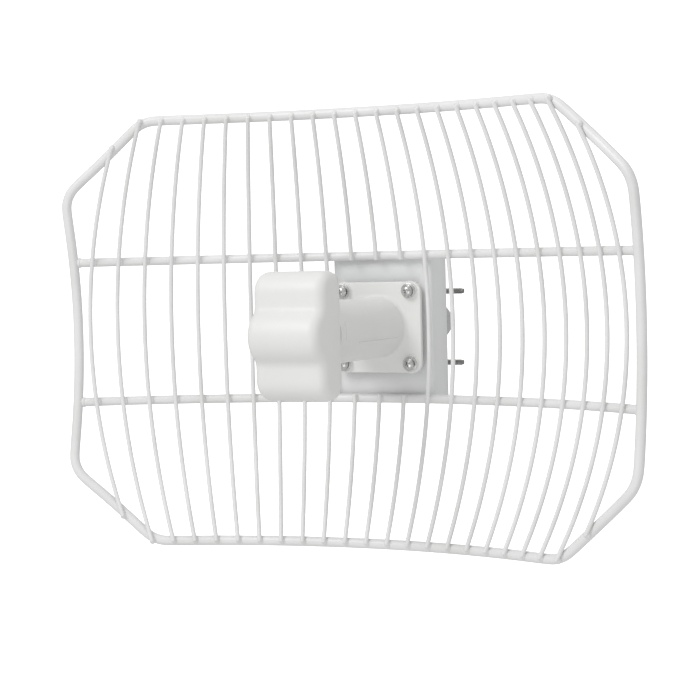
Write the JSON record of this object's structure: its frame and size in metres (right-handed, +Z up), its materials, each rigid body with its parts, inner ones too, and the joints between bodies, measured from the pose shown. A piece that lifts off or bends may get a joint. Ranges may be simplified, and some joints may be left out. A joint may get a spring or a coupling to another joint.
{
  "type": "parabolic grid antenna",
  "caption": "Rectangular wire-grid parabolic reflector with a white radio feed on its axis, tilting on a side plate that clamps to a round mast.",
  "frame": {"origin": "on the mast axis, level with the middle of the dish", "axes": "+Z up along the mast, beam along -Y, +X to the right of someone who stands in front of the dish and faces it"},
  "size_m": [0.6095, 0.3463, 0.4334],
  "materials": {
    "coated_wire": "satin white polyester powder coat on welded steel rod",
    "painted_bracket": "satin white powder coat on folded sheet",
    "white_plastic": "warm white moulded plastic, fine matt grain",
    "grey_plastic": "light grey moulded plastic",
    "clear_window": "translucent light guide",
    "zinc_steel": "bright zinc plated fasteners",
    "galvanised_steel": "galvanised sheet",
    "cast_saddle": "die-cast aluminium",
    "black_rubber": "moulded seal",
    "board_green": "solder-masked glass-fibre board",
    "tinned_metal": "tinned sheet",
    "brass_element": "plain brass strip"
  },
  "bodies": {
    "mast_mount": {"pole_bracket": "galvanised_steel", "upper_saddle": "cast_saddle", "lower_saddle": "cast_saddle", "clamp_nuts": "zinc_steel", "clamp_washers": "zinc_steel", "pivot_bolt": "zinc_steel", "pivot_nut": "zinc_steel", "pivot_washers": "zinc_steel"},
    "reflector": {"wire_01": "coated_wire", "wire_02": "coated_wire", "wire_03": "coated_wire", "wire_04": "coated_wire", "wire_05": "coated_wire", "wire_06": "coated_wire", "wire_07": "coated_wire", "wire_08": "coated_wire", "wire_09": "coated_wire", "wire_10": "coated_wire", "wire_11": "coated_wire", "wire_12": "coated_wire", "wire_13": "coated_wire", "wire_14": "coated_wire", "wire_15": "coated_wire", "wire_16": "coated_wire", "wire_17": "coated_wire", "wire_18": "coated_wire", "wire_19": "coated_wire", "wire_20": "coated_wire", "wire_21": "coated_wire", "wire_22": "coated_wire", "wire_23": "coated_wire", "rim_frame": "coated_wire", "upper_bar": "coated_wire", "lower_bar": "coated_wire", "reflector_bracket": "painted_bracket", "feed_housing": "white_plastic", "tail_tube": "grey_plastic", "head_cover": "white_plastic", "head_seal": "black_rubber", "circuit_board": "board_green", "shield_can": "tinned_metal", "dipole_element": "brass_element", "sub_reflector": "tinned_metal", "light_window": "clear_window", "network_jack": "tinned_metal", "tail_seal": "black_rubber", "feed_screws": "zinc_steel", "feed_spring_washers": "zinc_steel", "feed_flat_washers": "zinc_steel", "feed_nuts": "zinc_steel", "lock_bolts": "zinc_steel", "lock_nuts": "zinc_steel", "lock_washers": "zinc_steel"},
    "end_cap": {"tail_cap": "grey_plastic", "cable_grommet": "black_rubber"},
    "button": {"reset_button": "black_rubber"},
    "upper_clamp": {"upper_u_bolt": "zinc_steel"},
    "lower_clamp": {"lower_u_bolt": "zinc_steel"}
  },
  "joints": [
    {"name": "elevation_tilt", "type": "hinge", "parent": "mast_mount", "child": "reflector", "pos_m": [0.02715, -0.063, 0], "axis": [1, 0, 0], "range_deg": [-10.3, 3.7]},
    {"name": "end_cap_slide", "type": "slide", "parent": "reflector", "child": "end_cap", "axis": [0, 0.9983, 0.0576], "range_m": [0, 0.025]},
    {"name": "reset_press", "type": "slide", "parent": "reflector", "child": "button", "axis": [0, -0.9983, -0.0576], "range_m": [0, 0.0008], "stiffness_N_per_m": 400},
    {"name": "upper_clamp_travel", "type": "slide", "parent": "mast_mount", "child": "upper_clamp", "axis": [-1, 0, 0], "range_m": [0, 0.012]},
    {"name": "lower_clamp_travel", "type": "slide", "parent": "mast_mount", "child": "lower_clamp", "axis": [-1, 0, 0], "range_m": [0, 0.012]}
  ]
}
